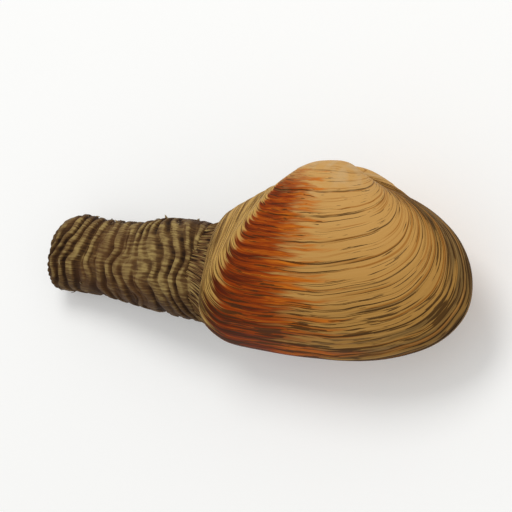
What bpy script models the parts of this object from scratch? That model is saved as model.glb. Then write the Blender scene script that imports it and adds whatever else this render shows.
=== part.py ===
"""A gaper clam, shut and lying on its left valve, with its wrinkled siphon stretched out on the ground.

Shell axes, in millimetres: X runs forward, Y up the clam's back and Z out through its right valve, and the
beaks are at the origin. The rest_pose empty turns those axes to the way the clam lies.
"""

import math

import bmesh
import bpy
import numpy as np
from mathutils import Matrix

MM = 0.001

# How the clam lies: the turns about X and Y, in degrees, and where that puts the beaks.
LEAN_TO_BELLY = 8.0
LEAN_TO_SIPHON = -2.0
BEAKS_AT = (24.26, 20.93, 19.85)

# The edge of a valve, from the beak round the front: X, Y and half the width that the valves gape there.
MARGIN = (
    (0.5, -0.4, 0.0),
    (14.0, -2.7, 0.0),
    (26.5, -7.2, 0.0),
    (36.5, -14.5, 0.0),
    (41.5, -24.0, 0.0),
    (40.5, -33.5, 0.0),
    (32.0, -41.3, 0.0),
    (16.0, -45.7, 0.0),
    (-4.0, -46.0, 0.0),
    (-20.5, -44.6, 0.0),
    (-29.0, -43.0, 1.5),
    (-32.0, -38.5, 7.5),
    (-31.3, -30.0, 10.0),
    (-31.5, -20.5, 9.0),
    (-31.8, -13.5, 4.5),
    (-26.0, -8.2, 0.0),
    (-13.5, -2.9, 0.0),
)

# A valve grows from stage 0, its beak, to stage 1, its edge, while it turns about an axis above the beaks.
TURN_AXIS_HEIGHT = 4.0
TURN_RATE = 0.9
LIP_TURN = 0.14
LIP_STAGES = 0.06
BEAK_STAGES = (0.06, 0.08, 0.1, 0.13, 0.17)
LEDGE_STAGES = (0.24, 0.35, 0.46, 0.57, 0.67, 0.77, 0.86, 0.93, 1.0)
INSIDE_STAGES = (1.0, 0.97, 0.92, 0.83, 0.7, 0.56, 0.42, 0.3)
LEDGE_DROP = 0.35
LEDGE_RUN = 0.008
WALL = 1.4
GAP = 0.3
VALVE_SPOKES = 44

# Sections of the siphon: X, Y and Z of its middle, half its height along Y and half its thickness along Z.
SIPHON_SECTIONS = (
    (-24.0, -27.3, 0.0, 11.2, 7.2),
    (-31.0, -27.3, 0.0, 11.8, 8.0),
    (-41.0, -25.5, -1.0, 12.5, 9.2),
    (-52.0, -24.4, -2.7, 12.0, 8.7),
    (-62.0, -24.2, -4.3, 10.4, 7.9),
    (-73.0, -22.9, -5.8, 9.6, 7.2),
    (-83.0, -21.8, -7.0, 9.8, 6.8),
    (-91.0, -22.8, -7.5, 8.6, 6.3),
)
SIPHON_ROUNDING = 5.0
TIP_ROUNDING = 4.0
SIPHON_HOLLOW = 2.0
SIPHON_LIP = 0.45
SIPHON_SQUARENESS = 2.3
SIPHON_RINGS = 60
SIPHON_SPOKES = 20
# The end of the siphon leans back: how far forward it is for each step up it, and where the lean starts and ends.
TIP_LEAN = 0.05
TIP_LEAN_SPAN = (-75.0, -88.0)
WRINKLE_PITCH = 4.4
WRINKLE_HEIGHT = 0.35

# The ligament lies along the seam behind the beaks.
LIGAMENT_SPAN = (-3.5, -14.0)
LIGAMENT_RADIUS = 1.0
LIGAMENT_LIFT = 0.4
LIGAMENT_POINTS = 9

SHELL_COLOUR = (0.60, 0.39, 0.17, 1)
SIPHON_COLOUR = (0.16, 0.10, 0.05, 1)
LIGAMENT_COLOUR = (0.06, 0.03, 0.015, 1)


def clear_scene():
    for thing in list(bpy.data.objects):
        bpy.data.objects.remove(thing, do_unlink=True)


def make_material(name, colour, roughness):
    material = bpy.data.materials.new(name)
    material.use_nodes = True
    shader = material.node_tree.nodes["Principled BSDF"]
    shader.inputs["Base Color"].default_value = colour
    shader.inputs["Roughness"].default_value = roughness
    material.diffuse_color = colour
    return material


def closed_curve(points, count):
    """Evenly spaced points of the smooth closed curve through the given ones."""
    before, start, end, after = (np.roll(np.array(points), shift, axis=0) for shift in (1, 0, -1, -2))
    fine = []
    for t in np.linspace(0, 1, 24, endpoint=False):
        bend = (2 * before - 5 * start + 4 * end - after) * t**2 + (3 * start - 3 * end + after - before) * t**3
        fine.append(start + 0.5 * ((end - before) * t + bend))
    fine = np.stack(fine, axis=1).reshape(-1, 3)
    fine = np.vstack([fine, fine[:1]])
    run = np.concatenate([[0], np.cumsum(np.linalg.norm(np.diff(fine, axis=0), axis=1))])
    wanted = np.linspace(0, run[-1], count, endpoint=False)
    return np.stack([np.interp(wanted, run, fine[:, axis]) for axis in range(3)], axis=1)


def grown(stage, margin):
    """Where the edge of the valve was at a growth stage."""
    turn = TURN_RATE * math.log(1 / stage) + LIP_TURN * (1 - math.exp((stage - 1) / LIP_STAGES))
    x, y, gape = margin.T
    gape = gape * stage**2
    reach = TURN_AXIS_HEIGHT - y
    back = TURN_AXIS_HEIGHT - reach * math.cos(turn) + gape * math.sin(turn)
    out = reach * math.sin(turn) + gape * math.cos(turn)
    return stage * np.stack([x, back, out], axis=1)


def wall_rows():
    """Growth stage and height above the smooth surface of each ring, over the outside and back inside."""
    rows = [(stage, 0.0) for stage in BEAK_STAGES]
    for start, end in zip((BEAK_STAGES[-1],) + LEDGE_STAGES, LEDGE_STAGES):
        drop = LEDGE_DROP if end < 1 else 0.0
        rows.append((start + LEDGE_RUN, 0.0))
        rows.append(((start + end) / 2, drop / 4))
        rows.append((end, drop))
    rows += [(stage, -WALL) for stage in INSIDE_STAGES]
    return rows


def valve_rings(margin):
    rings = []
    for stage, height in wall_rows():
        ring = grown(stage, margin)
        along = np.roll(ring, -1, axis=0) - np.roll(ring, 1, axis=0)
        across = grown(stage * 1.002, margin) - grown(stage * 0.998, margin)
        normal = np.cross(along, across)
        ring += height * normal / np.linalg.norm(normal, axis=1, keepdims=True)
        ring[:, 2] = np.maximum(ring[:, 2], GAP / 2)
        rings.append(ring)
    return rings


def skin_of_rings(name, rings, start, end, material):
    """A UV sphere whose rows are moved onto the rings and whose poles are moved to start and end."""
    spokes = len(rings[0])
    rows = len(rings) + 1
    skin = bmesh.new()
    bmesh.ops.create_uvsphere(skin, u_segments=spokes, v_segments=rows, radius=1)
    for vertex in skin.verts:
        row = round(math.acos(max(-1, min(1, vertex.co.z))) / math.pi * rows)
        spoke = round(math.atan2(vertex.co.y, vertex.co.x) / math.tau * spokes) % spokes
        if row == 0:
            place = start
        elif row == rows:
            place = end
        else:
            place = rings[row - 1][spoke]
        vertex.co = place * MM
    if skin.calc_volume(signed=True) < 0:
        bmesh.ops.reverse_faces(skin, faces=skin.faces)
    mesh = bpy.data.meshes.new(name)
    skin.to_mesh(mesh)
    skin.free()
    mesh.materials.append(material)
    mesh.shade_smooth()
    mesh.set_sharp_from_angle(angle=math.radians(50))
    return bpy.data.objects.new(name, mesh)


def make_valve(name, side, material):
    """A domed shell, hollow from its edge to the solid beak. The side is 1 for the right and -1 for the left."""
    margin = closed_curve(MARGIN, VALVE_SPOKES)
    middle = margin.mean(axis=0, keepdims=True)
    mirror = np.array([1, 1, side])
    rings = [ring * mirror for ring in valve_rings(margin)]
    beak = grown(BEAK_STAGES[0], middle)[0] * mirror
    hollow = grown(INSIDE_STAGES[-1], middle)[0] * mirror
    return skin_of_rings(name, rings, beak, hollow, material)


def siphon_profile():
    """X and share of the full section of each ring, from the end inside the shell to the hollow in the tip."""
    inner, tip = SIPHON_SECTIONS[0][0], SIPHON_SECTIONS[-1][0]
    bends = np.radians([15, 40, 65])
    rows = [(inner - SIPHON_ROUNDING * (1 - math.cos(bend)), math.sin(bend)) for bend in bends]
    body = SIPHON_RINGS - 2 * len(bends) - 3
    for x in np.linspace(inner - SIPHON_ROUNDING, tip + TIP_ROUNDING, body):
        rows.append((x, 1.0))
    for bend in bends:
        share = SIPHON_LIP + (1 - SIPHON_LIP) * math.cos(bend)
        rows.append((tip + TIP_ROUNDING * (1 - math.sin(bend)), share))
    rows.append((tip, SIPHON_LIP))
    rows.append((tip + SIPHON_HOLLOW / 2, SIPHON_LIP * 0.6))
    rows.append((tip + SIPHON_HOLLOW, SIPHON_LIP * 0.3))
    return rows


def siphon_section(x):
    """Middle, half height and half thickness of the siphon at X."""
    table = np.array(SIPHON_SECTIONS)[::-1]
    y, z, height, thickness = (np.interp(x, table[:, 0], table[:, column]) for column in range(1, 5))
    return np.array([x, y, z]), height, thickness


def leaned(x, up, height):
    """X at a height above the middle of the siphon, where its belly side keeps its place and its back leans forward."""
    start, end = TIP_LEAN_SPAN
    amount = min(1, max(0, (x - start) / (end - start)))
    return x + TIP_LEAN * amount * (up + height)


def siphon_ring(x, share):
    """One ring around the siphon, with the transverse wrinkles that slant and wander round it."""
    middle, height, thickness = siphon_section(x)
    angle = np.linspace(0, math.tau, SIPHON_SPOKES, endpoint=False)
    power = 2 / SIPHON_SQUARENESS
    across = np.sign(np.cos(angle)) * np.abs(np.cos(angle)) ** power
    up = np.sign(np.sin(angle)) * np.abs(np.sin(angle)) ** power
    outside = share if x < SIPHON_SECTIONS[1][0] - SIPHON_ROUNDING else 0
    wander = 0.22 * np.sin(angle + 0.4) + 0.12 * np.sin(3 * angle + x / 9)
    wrinkle = outside * WRINKLE_HEIGHT * np.sin(math.tau * (x / WRINKLE_PITCH + wander))
    high = across * (share * height + wrinkle)
    ring = middle + np.stack([np.zeros_like(angle), high, up * (share * thickness + wrinkle)], 1)
    ring[:, 0] = leaned(x, high, height)
    return ring


def make_siphon(material):
    rows = siphon_profile()
    rings = [siphon_ring(x, share) for x, share in rows]
    inner_end = siphon_section(SIPHON_SECTIONS[0][0])[0]
    hollow, height, thickness = siphon_section(rows[-1][0])
    hollow[0] = leaned(hollow[0], 0, height)
    return skin_of_rings("siphon", rings, inner_end, hollow, material)


def make_ligament(material):
    """A tapering cord along the seam, just clear of the edges of the valves."""
    margin = closed_curve(MARGIN, 400)
    seam = margin[(margin[:, 0] < 0) & (margin[:, 1] > -8)]
    seam = seam[np.argsort(seam[:, 0])]
    curve = bpy.data.curves.new("ligament", "CURVE")
    curve.dimensions = "3D"
    curve.bevel_depth = LIGAMENT_RADIUS * MM
    curve.bevel_resolution = 2
    curve.use_fill_caps = True
    spline = curve.splines.new("POLY")
    spline.points.add(LIGAMENT_POINTS - 1)
    for index, point in enumerate(spline.points):
        share = index / (LIGAMENT_POINTS - 1)
        x = LIGAMENT_SPAN[0] + share * (LIGAMENT_SPAN[1] - LIGAMENT_SPAN[0])
        y = np.interp(x, seam[:, 0], seam[:, 1]) + LIGAMENT_RADIUS + LIGAMENT_LIFT
        point.co = (x * MM, y * MM, 0, 1)
        point.radius = 0.45 + 0.55 * math.sin(math.pi * share)
    curve.materials.append(material)
    return bpy.data.objects.new("ligament", curve)


def rest_matrix():
    place = Matrix.Translation([value * MM for value in BEAKS_AT])
    lean = Matrix.Rotation(math.radians(LEAN_TO_SIPHON), 4, "Y")
    return place @ lean @ Matrix.Rotation(math.radians(LEAN_TO_BELLY), 4, "X")


def flatten_on_ground(piece, rest):
    """Levels what would reach below the ground, which leaves the flat patch that the piece rests on."""
    back = rest.inverted()
    for vertex in piece.data.vertices:
        place = rest @ vertex.co
        if place.z < 0:
            place.z = 0
            vertex.co = back @ place


def main():
    clear_scene()
    shell = make_material("shell", SHELL_COLOUR, 0.5)
    skin = make_material("siphon_skin", SIPHON_COLOUR, 0.8)
    horn = make_material("ligament_horn", LIGAMENT_COLOUR, 0.6)
    right_valve = make_valve("right_valve", 1, shell)
    left_valve = make_valve("left_valve", -1, shell)
    siphon = make_siphon(skin)
    ligament = make_ligament(horn)

    rest = rest_matrix()
    flatten_on_ground(left_valve, rest)
    flatten_on_ground(siphon, rest)
    rest_pose = bpy.data.objects.new("rest_pose", None)
    rest_pose.matrix_world = rest
    clam = bpy.data.collections.new("gaper_clam")
    bpy.context.scene.collection.children.link(clam)
    clam.objects.link(rest_pose)
    for piece in (right_valve, left_valve, siphon, ligament):
        clam.objects.link(piece)
        piece.parent = rest_pose


main()
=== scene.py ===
"""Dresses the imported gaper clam: grows its valves by a law of growth, wrinkles its siphon and lays it out.

Shell axes run forward (X), up the clam's back (Y) and out through its right valve (Z), from the beaks.
The settings turn those axes to the way the clam lies on the ground.
"""

import math
from functools import partial

import bpy
from bpy.props import FloatProperty, FloatVectorProperty, IntProperty, PointerProperty
from mathutils import Matrix, Vector


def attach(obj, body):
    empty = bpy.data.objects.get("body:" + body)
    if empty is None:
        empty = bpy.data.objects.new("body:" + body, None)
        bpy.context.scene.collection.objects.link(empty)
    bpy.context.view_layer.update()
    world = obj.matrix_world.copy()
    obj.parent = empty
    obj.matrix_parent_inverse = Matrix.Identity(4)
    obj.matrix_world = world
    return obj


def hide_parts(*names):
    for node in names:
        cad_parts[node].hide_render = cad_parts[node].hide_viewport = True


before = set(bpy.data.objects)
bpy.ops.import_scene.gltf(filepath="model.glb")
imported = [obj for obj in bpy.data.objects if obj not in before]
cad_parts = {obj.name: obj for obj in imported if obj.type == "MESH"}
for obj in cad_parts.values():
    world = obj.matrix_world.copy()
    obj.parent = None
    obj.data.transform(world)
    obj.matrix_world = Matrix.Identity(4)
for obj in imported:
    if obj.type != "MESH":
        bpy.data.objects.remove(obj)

bl_info = {
    "name": "Gaper Clam",
    "version": (1, 0, 0),
    "blender": (4, 5, 0),
    "location": "3D Viewport > Sidebar > Gaper Clam",
    "description": "Grows the valves, siphon and ligament of a gaper clam lying on its side",
    "category": "Object",
}

MM = 0.001

# The edge of a valve, from the beak round the front, in millimetres: X, Y and half the width of the gape.
MARGIN = (
    (0.5, -0.4, 0.0),
    (14.0, -2.7, 0.0),
    (26.5, -7.2, 0.0),
    (36.5, -14.5, 0.0),
    (41.5, -24.0, 0.0),
    (40.5, -33.5, 0.0),
    (32.0, -41.3, 0.0),
    (16.0, -45.7, 0.0),
    (-4.0, -46.0, 0.0),
    (-20.5, -44.6, 0.0),
    (-29.0, -43.0, 1.5),
    (-32.0, -38.5, 7.5),
    (-31.3, -30.0, 10.0),
    (-31.5, -20.5, 9.0),
    (-31.8, -13.5, 4.5),
    (-26.0, -8.2, 0.0),
    (-13.5, -2.9, 0.0),
)

# Shares of the way round a valve where the pale band along its hind edge starts and is full.
HIND_BAND = (0.655, 0.69)

# Rows that close a valve at its beak and at its hollow, points that its middle is taken from, and how much
# older and younger shell is compared to find how the surface runs.
CAP_ROWS, HOLLOW_ROWS = 6.0, 4.0
EDGE_POINTS = 240
NEARBY = 0.002

# Growth pauses after this stage. The mean number of pauses per stage since then starts at this rate and rises
# by this much for each stage.
PAUSES_START, PAUSES_RATE, PAUSES_CROWD = 0.24, 8.6, 2.53

# Sections of the siphon in millimetres: X, Y and Z of its middle, half its height and half its thickness.
SIPHON_SECTIONS = (
    (-24.0, -27.3, 0.0, 11.2, 7.2),
    (-31.0, -27.3, 0.0, 11.8, 8.0),
    (-41.0, -25.5, -1.0, 12.5, 9.2),
    (-52.0, -24.4, -2.7, 12.0, 8.7),
    (-62.0, -24.2, -4.3, 10.4, 7.9),
    (-73.0, -22.9, -5.8, 9.6, 7.2),
    (-83.0, -21.8, -7.0, 9.8, 6.8),
    (-91.0, -22.8, -7.5, 8.6, 6.3),
)
# How far its two ends are rounded, and the distance between stations along its outline, in millimetres.
INNER_ROUNDING, TIP_ROUNDING = 5.0, 4.0
STATION_STEP = 3.0
# The share of the blunt end that is nearly flat.
TIP_FLAT = 0.45
# The two openings in it, in metres: height from its middle, and radius at the rim and at the floor.
OPENINGS = ((-0.0036, 0.0031, 0.0016), (0.0036, 0.0025, 0.0012))

# The puckers round its blunt end, and their height in metres.
PUCKERS, PUCKER_HEIGHT = 26, 0.00016

# The cuff, in metres. Its rim is the edge of the gape, drawn in by this scale and offset to sit in the lips.
CUFF_RIM = ((1.0, 0.985, 0.975), (0.0014, -0.0273 * 0.015, 0.0))
# Rings just over and just under the skin of the siphon: half their height and width, and their middles.
CUFF_OVER = ((0.0, 0.0131, 0.0096), (-0.0345, -0.0268, -0.0003))
CUFF_UNDER = ((0.0, 0.0113, 0.0079), (-0.0415, -0.0255, -0.001))
# The points where it closes, out of sight in the shell and in the siphon, and its shares between those ends.
CUFF_POLES = ((-0.022, -0.027, 0.0), (-0.0395, -0.0257, -0.0008))
CUFF_SKIN = (0.04, 0.92)

# Points along the seam behind the beaks, in millimetres: X, Y and half width of the ligament.
LIGAMENT = (
    (-3.5, 0.72, 0.45),
    (-5.0, 0.50, 0.69),
    (-7.0, 0.13, 0.93),
    (-9.0, -0.30, 1.0),
    (-11.0, -0.80, 0.87),
    (-14.0, -1.65, 0.45),
)


def colour(code):
    """Linear RGBA of an sRGB hex colour."""
    parts = [int(code[place : place + 2], 16) / 255 for place in (1, 3, 5)]
    return tuple(c / 12.92 if c <= 0.04045 else ((c + 0.055) / 1.055) ** 2.4 for c in parts) + (1.0,)


# The panel's settings: a colour, a count, a number, a length in metres and an angle in degrees.


def hue(name, description, code):
    return FloatVectorProperty(
        name=name, description=description, subtype="COLOR", size=4, min=0, max=1, default=colour(code)
    )


def whole(name, description, default, least=0):
    return IntProperty(name=name, description=description, default=default, min=least)


def number(name, description, default, **more):
    return FloatProperty(name=name, description=description, default=default, **more)


def length(name, description, default):
    return number(name, description, default, unit="LENGTH", precision=5)


def angle(name, description, degrees):
    return number(name, description, math.radians(degrees), subtype="ANGLE")


class GAPER_PG_lie(bpy.types.PropertyGroup):
    to_belly: angle("Lean to Belly", "Turn about the length of the shell", 8)
    to_siphon: angle("Lean to Siphon", "Turn about the height of the shell", -2)
    beaks: FloatVectorProperty(
        name="Beaks",
        description="Where the beaks are above the ground",
        default=(0.02426, 0.02093, 0.01985),
        subtype="XYZ",
        unit="LENGTH",
    )


class GAPER_PG_shell(bpy.types.PropertyGroup):
    around: whole("Around", "Columns of faces round a valve", 264, 24)
    outside: whole("Outside Rows", "Rows from the beak to the edge", 300, 24)
    inside: whole("Inside Rows", "Rows from the edge to the hollow", 40, 12)
    first: number("First Stage", "Growth stage at the beak", 0.06, subtype="FACTOR")
    last: number("Hollow Stage", "Growth stage where the hollow ends", 0.3, subtype="FACTOR")
    axis: length("Axis Height", "Height above the beaks of the axis that the growing edge turns about", 0.004)
    rate: number("Turn Rate", "Turn per e-fold of growth, in radians", 0.9)
    lip_turn: number("Lip Turn", "Extra turn close to the edge", 0.14, subtype="ANGLE")
    lip_stages: number("Lip Stages", "Growth over which the lip turns", 0.06)
    wall: length("Wall", "Thickness of the shell", 0.0014)
    gap: length("Gap", "Space between the shut valves", 0.0003)
    ledge: length("Ledge", "Height of the steps left by pauses in growth", 0.00026)
    line: length("Growth Line", "Height of the fine growth lines", 0.00014)
    # Straw to Olive darken the shell from the beaks to the edge: partly its skin's own colour and partly
    # painted shade.
    straw: hue("Straw", "Smooth shell near the beaks", "#C99A58")
    chalk: hue("Chalk", "Rubbed patches on the beaks", "#C9A878")
    tan: hue("Tan", "Middle of the shell", "#BF8F4B")
    ochre: hue("Ochre", "Lower part of the shell", "#AA7D3C")
    olive: hue("Olive", "Thick skin near the edge", "#70562F")
    rust: hue("Rust", "Stain on the hind part", "#963B00")
    rust_light: hue("Light Rust", "Light streaks of the stain", "#C66E18")
    rust_dark: hue("Dark Rust", "Dark streaks of the stain", "#551A00")
    band: hue("Hind Band", "Pale band along the hind edge", "#C39A52")
    strand: hue("Strand", "Dark strands in the hind band", "#6A4618")
    ginger: hue("Ginger", "Soft lines on the front half", "#9C6220")
    ink: hue("Line Brown", "Dark skin in the growth lines", "#3A2208")
    pearl: hue("Inside", "Chalky inside of the shell", "#D9CDB6")


class GAPER_PG_siphon(bpy.types.PropertyGroup):
    around: whole("Around", "Columns of faces round the siphon", 168, 24)
    along: whole("Along", "Rows of faces along the siphon", 540, 48)
    squareness: number("Squareness", "2 is an ellipse and more is squarer", 2.3, min=2, max=4)
    pitch: length("Fold Pitch", "Distance from one fold of the skin to the next", 0.0038)
    fold: length("Fold Height", "Height of the folds of the skin", 0.0007)
    crease: length("Crease Height", "Height of the fine creases along the siphon", 0.00012)
    opening: length("Opening Depth", "Depth of the two openings in the blunt end", 0.0022)
    shreds: whole("Shreds", "Shreds of worn skin per square metre", 90000)
    shred: length("Shred", "Length of a shred of skin", 0.0013)
    # Ridge is a painted highlight on the tops of the folds, Groove is painted shade in their bottoms, and
    # Underside is painted shade along the back, the belly, the blunt end and near the ground.
    ridge: hue("Ridge", "Rubbed tops of the folds", "#A38A52")
    skin: hue("Skin", "Flanks of the folds", "#5E4321")
    warm: hue("Warm Skin", "Redder brown in the mottling", "#5C3A1E")
    groove: hue("Groove", "Bottom of the folds", "#221205")
    under: hue("Underside", "Skin that lies on the ground", "#3B2512")
    collar: hue("Collar", "Skin of the cuff in the gape", "#6A4A2A")
    frayed: hue("Frayed Skin", "Dry shreds on the folds", "#927B52")


class GAPER_PG_ligament(bpy.types.PropertyGroup):
    around: whole("Around", "Columns of faces round the ligament", 40, 8)
    along: whole("Along", "Rows of faces along the ligament", 220, 12)
    ring: length("Ring Height", "Height of its growth rings", 0.00005)
    horn: hue("Horn", "Dark dried horn", "#3A2410")
    worn: hue("Worn Horn", "Lighter, worn top of the ligament", "#6B4A26")


class GAPER_PG_stage(bpy.types.PropertyGroup):
    azimuth: angle("Azimuth", "Side the camera looks from", 66.64)
    elevation: angle("Elevation", "Height the camera looks from", 53.86)
    roll: angle("Roll", "Turn of the camera about its view", -58.06)
    width: length("View Width", "Width of the view at the object", 0.128)
    lens: number("Lens", "Focal length in millimetres", 400.0, min=20)
    key: number("Key Light", "Strength of the main soft light", 2.9, min=0)
    sky: number("Sky Light", "Strength of the light from all round", 0.62, min=0)
    floor: hue("Floor", "Plain pale floor", "#E6E6E4")


PREFIXES = ("ShaderNode", "GeometryNode", "FunctionNode", "")

# The setting that the second word of a node's kind gives.
CHOICES = {
    "Math": "operation",
    "VectorMath": "operation",
    "MapRange": "interpolation_type",
    "Mix": "data_type",
    "TexNoise": "noise_dimensions",
    "VectorRotate": "rotation_type",
}

# The inputs that the growth law needs, and those of every piece in shell axes.
# A modifier takes its geometry from the first input.
GROWTH_NAMES = ("Axis height", "Turn rate", "Lip turn", "Lip stages")
GROWTH_INPUTS = "Float: " + ", ".join(GROWTH_NAMES)
PIECE_INPUTS = (
    "Geometry: Geometry",
    "Float: Lean to belly, Lean to siphon",
    "Vector: Beaks",
    "Material: Material",
)


def fill(node, *values, **named):
    """Links or sets the node's sockets, those in use in order and others by name, and returns the node.

    A node given as a value links its first output in use.
    """
    sockets = [socket for socket in node.inputs if socket.enabled]
    by_name = {socket.name: socket for socket in reversed(sockets)}
    pairs = list(zip(sockets, values))
    pairs += [(by_name[name.replace("_", " ")], value) for name, value in named.items()]
    for socket, value in pairs:
        if isinstance(value, bpy.types.Node):
            value = next(output for output in value.outputs if output.enabled)
        if isinstance(value, bpy.types.NodeSocket):
            node.id_data.links.new(value, socket)
        else:
            socket.default_value = value
    return node


def add_node(tree, kind, *values, stops=(), **named):
    """Adds a node, such as "Math ADD", with its settings and links, and returns it.

    A name with a capital is a socket's, and any other is a setting's. The stops are those of a colour ramp.
    """
    kind, _, choice = kind.partition(" ")
    node = tree.nodes.new(next(prefix + kind for prefix in PREFIXES if hasattr(bpy.types, prefix + kind)))
    if choice:
        setattr(node, CHOICES[kind], choice)
    for name in [name for name in named if name[0].islower()]:
        setattr(node, name, named.pop(name))
    for index, (position, stop) in enumerate(stops):
        ramp = node.color_ramp.elements
        element = ramp[index] if index < 2 else ramp.new(position)
        element.position = position
        element.color = stop
    return fill(node, *values, **named)


def new_tree(name, *inputs, outputs=("Geometry: Geometry",)):
    """A Geometry Nodes tree with inputs and outputs from lines such as "Float: Wall, Gap".

    Returns the function that adds its nodes, its inputs by name, and its output node.
    """
    tree = bpy.data.node_groups.new(name, "GeometryNodeTree")
    for in_out, lines in (("INPUT", inputs), ("OUTPUT", outputs)):
        for kind, labels in (line.split(": ") for line in lines):
            for label in labels.split(", "):
                tree.interface.new_socket(label, in_out=in_out, socket_type="NodeSocket" + kind)
    given, result = (tree.nodes.new("NodeGroup" + end) for end in ("Input", "Output"))
    return partial(add_node, tree), given.outputs, result


def course(name, points, loop=False, **attributes):
    """A mesh object with only a line of points, given in millimetres, and numbers for them in attributes."""
    mesh = bpy.data.meshes.new(name)
    edges = [(index, index + 1) for index in range(len(points) - 1)]
    if loop:
        edges.append((len(points) - 1, 0))
    mesh.from_pydata([Vector(point) * MM for point in points], edges, [])
    for attribute, values in attributes.items():
        layer = mesh.attributes.new(attribute, "FLOAT", "POINT")
        layer.data.foreach_set("value", values)
    piece = bpy.data.objects.new(name, mesh)
    bpy.context.scene.collection.objects.link(piece)
    return piece


def grow(piece, tree, material, *groups, **values):
    """Runs the tree on the piece and keeps the result as a plain mesh.

    Its inputs are set by name, from the groups' settings with the same label and from the values.
    """
    modifier = piece.modifiers.new(tree.name, "NODES")
    modifier.node_group = tree
    by_name = {"Material": material}
    for group in (bpy.context.scene.gaper_lie, *groups):
        by_name |= {s.name.capitalize(): getattr(group, s.identifier) for s in group.bl_rna.properties}
    by_name |= {name.replace("_", " ").capitalize(): value for name, value in values.items()}
    for item in tree.interface.items_tree:
        if item.in_out == "INPUT" and item.name in by_name:
            modifier[item.identifier] = by_name[item.name]
    graph = bpy.context.evaluated_depsgraph_get()
    result = piece.evaluated_get(graph)
    mesh = bpy.data.meshes.new_from_object(result, preserve_all_data_layers=True, depsgraph=graph)
    piece.modifiers.remove(modifier)
    old = piece.data
    piece.data = mesh
    bpy.data.meshes.remove(old)
    mesh.name = piece.name
    if not mesh.polygons:
        raise RuntimeError(f"{piece.name} came out empty")


def dress(piece, slot, *nodes):
    """The piece moves with the clam and stands for the nodes. The slot is not used."""
    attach(piece, "root")
    if nodes:
        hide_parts(*nodes)


def new_grid(add, given, rows):
    """Nodes for a grid with its columns round the piece, and the shares of the way round and along it."""
    grid = add("MeshGrid", Vertices_X=add("Math ADD", given["Around"], 1.0), Vertices_Y=rows)
    shares = add("SeparateXYZ", grid.outputs["UV Map"]).outputs
    return grid, shares["X"], shares["Y"]


def close_grid(add, grid, place, name, value):
    """Nodes that move the grid's points to their places, store its UV map and merge its seam and ends."""
    shaped = add("SetPosition", Geometry=grid, Position=place)
    mapped = add(
        "StoreNamedAttribute", Geometry=shaped, Name=name, Value=value, data_type="FLOAT2", domain="CORNER"
    )
    return add("MergeByDistance", Geometry=mapped, Distance=1e-6)


def smooth_line(add, given):
    """Nodes for a smooth curve through the points of the piece."""
    line = add("MeshToCurve", Mesh=given["Geometry"])
    return add("CurveSplineType", Curve=line, spline_type="CATMULL_ROM")


def lift(add, geometry, height):
    """Nodes that move the surface out along its normals."""
    offset = add("VectorMath SCALE", Vector=add("InputNormal"), Scale=height)
    return add("SetPosition", Geometry=geometry, Offset=offset)


def lay(add, given, place):
    """Nodes that turn a place in shell axes to how the clam lies, and level it at the ground."""
    belly = add("VectorRotate X_AXIS", Vector=place, Angle=given["Lean to belly"])
    lean = add("VectorRotate Y_AXIS", Vector=belly, Angle=given["Lean to siphon"])
    return add("VectorMath MAXIMUM", add("VectorMath ADD", lean, given["Beaks"]), (-1.0, -1.0, 0.0))


def finish(add, given, result, geometry):
    """Ends a tree: its piece shades smoothly, holds no instances and takes its material."""
    soft = add("SetShadeSmooth", Geometry=geometry, Shade_Smooth=True)
    solid = add("RealizeInstances", Geometry=soft)
    return fill(result, Geometry=add("SetMaterial", Geometry=solid, Material=given["Material"])).id_data


def finish_lying(add, given, result, geometry):
    """Ends the tree of a piece that is still in shell axes."""
    laid = add("SetPosition", Geometry=geometry, Position=lay(add, given, add("InputPosition")))
    return finish(add, given, result, laid)


def growth_law():
    """Where a point of the edge was at a growth stage, and which way the edge ran there."""
    add, given, result = new_tree(
        "growth_law",
        "Vector: Margin, Tangent",
        "Float: Stage",
        GROWTH_INPUTS,
        outputs=("Vector: Place, Along",),
    )
    stage = given["Stage"]
    coil = add("Math MULTIPLY", add("Math LOGARITHM", stage, math.e), given["Turn rate"])
    near = add("Math DIVIDE", add("Math SUBTRACT", stage, 1.0), given["Lip stages"])
    lip = add("Math SUBTRACT", add("Math EXPONENT", near), 1.0)
    turn = add("Math ADD", coil, add("Math MULTIPLY", lip, given["Lip turn"]))
    narrow = add("CombineXYZ", 1.0, 1.0, add("Math MULTIPLY", stage, stage))
    gaping = add("VectorMath MULTIPLY", given["Margin"], narrow)
    centre = add("CombineXYZ", 0.0, given["Axis height"], 0.0)
    turned = add("VectorRotate X_AXIS", Vector=gaping, Center=centre, Angle=turn)
    scaled = add("VectorMath SCALE", Vector=turned, Scale=stage)
    flatter = add("VectorMath MULTIPLY", given["Tangent"], narrow)
    along = add("VectorRotate X_AXIS", Vector=flatter, Angle=turn)
    return fill(result, Place=scaled, Along=along).id_data


def trace_margin(add, given, share):
    """Nodes for the smooth closed edge, and its place and direction at a share of the way round."""
    fine = add("SetSplineResolution", Geometry=smooth_line(add, given), Resolution=24)
    sample = add("SampleCurve", Curves=fine, Factor=share, mode="FACTOR", use_all_curves=True).outputs
    return fine, sample["Position"], sample["Tangent"]


def count_pauses(add, stage):
    """Nodes that count the pauses in growth, which come 7 mm apart at the belly and 3 mm at the hinge."""
    past = add("Math SUBTRACT", stage, PAUSES_START)
    return add("Math MULTIPLY", past, add("Math MULTIPLY_ADD", past, PAUSES_CROWD, PAUSES_RATE))


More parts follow.
